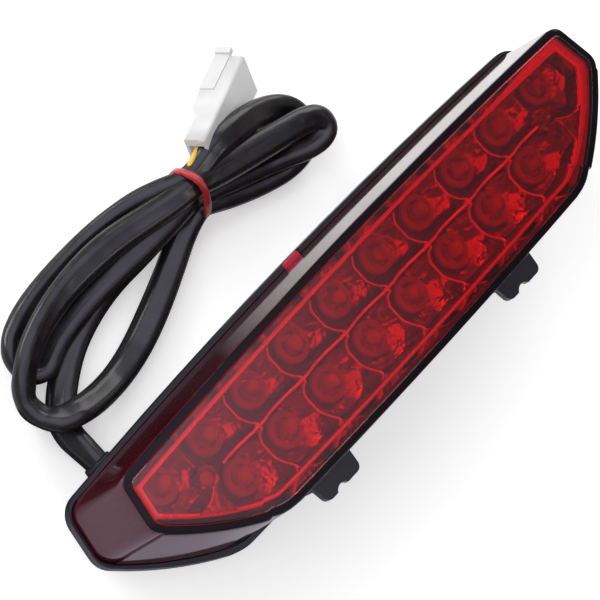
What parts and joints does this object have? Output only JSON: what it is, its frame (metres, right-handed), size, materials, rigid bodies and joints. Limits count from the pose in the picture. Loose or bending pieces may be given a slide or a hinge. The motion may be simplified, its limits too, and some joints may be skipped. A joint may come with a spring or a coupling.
{
  "type": "motorcycle_tail_light",
  "caption": "Wide six-sided red LED tail light with two rows of lamp cups, a black rim, two notched lower ears and a black lead folded into a tied hank with a white three-way connector",
  "frame": {"origin": "middle of the light's footprint without its lead, on the surface its back rests on", "axes": "+X along the length, +Y toward the long edge where the lead leaves, +Z out of the lens"},
  "size_m": [0.2172, 0.11, 0.048],
  "materials": {
    "lens_red": "gloss moulded acrylic",
    "optic_clear": "clear moulded acrylic, fluted",
    "black_abs": "satin moulded plastic",
    "black_rubber": "matte",
    "metallised": "vacuum metallised plastic",
    "white_collar": "moulded plastic",
    "led_epoxy": "clear epoxy",
    "board_green": "solder mask",
    "resistor_body": "lacquered",
    "chip_black": "moulded epoxy",
    "cap_can": "drawn can",
    "tinned_steel": "tinned",
    "screw_zinc": "zinc plated",
    "insert_brass": "turned",
    "wire_yellow": "satin PVC",
    "wire_orange": "satin PVC",
    "wire_black": "satin PVC",
    "pvc_black": "satin PVC sleeve",
    "nylon_milky": "milky translucent nylon",
    "terminal_brass": "stamped",
    "tie_red": "satin PVC over wire"
  },
  "bodies": {
    "light": {"lens": "lens_red", "side_optic_left": "optic_clear", "side_optic_right": "optic_clear", "housing": "black_abs", "vent_cap": "black_rubber", "lens_seal": "black_rubber", "reflector": "metallised", "led_collars": "white_collar", "upper_leds": "led_epoxy", "lower_leds": "led_epoxy", "circuit_board": "board_green", "resistors": "resistor_body", "driver_chips": "chip_black", "capacitor": "cap_can", "wire_terminals": "tinned_steel", "reflector_screws": "screw_zinc", "board_screws": "screw_zinc", "mounting_inserts": "insert_brass", "cable_grommet": "black_rubber", "inner_wire_yellow": "wire_yellow", "inner_wire_orange": "wire_orange", "inner_wire_black": "wire_black", "cord_lead": "pvc_black", "cord_hank": "pvc_black", "wire_yellow": "wire_yellow", "wire_orange": "wire_orange", "wire_black": "wire_black", "connector_housing": "nylon_milky", "connector_terminals": "terminal_brass", "tie_band": "tie_red"},
    "latch": {"connector_latch": "nylon_milky"}
  },
  "joints": [
    {"name": "latch_press", "type": "hinge", "parent": "light", "child": "latch", "pos_m": [0.01939, 0.07662, 0.01356], "axis": [0.294, -0.6061, 0.7391], "range_deg": [0, 4.5], "stiffness_Nm_per_rad": 0.4}
  ]
}
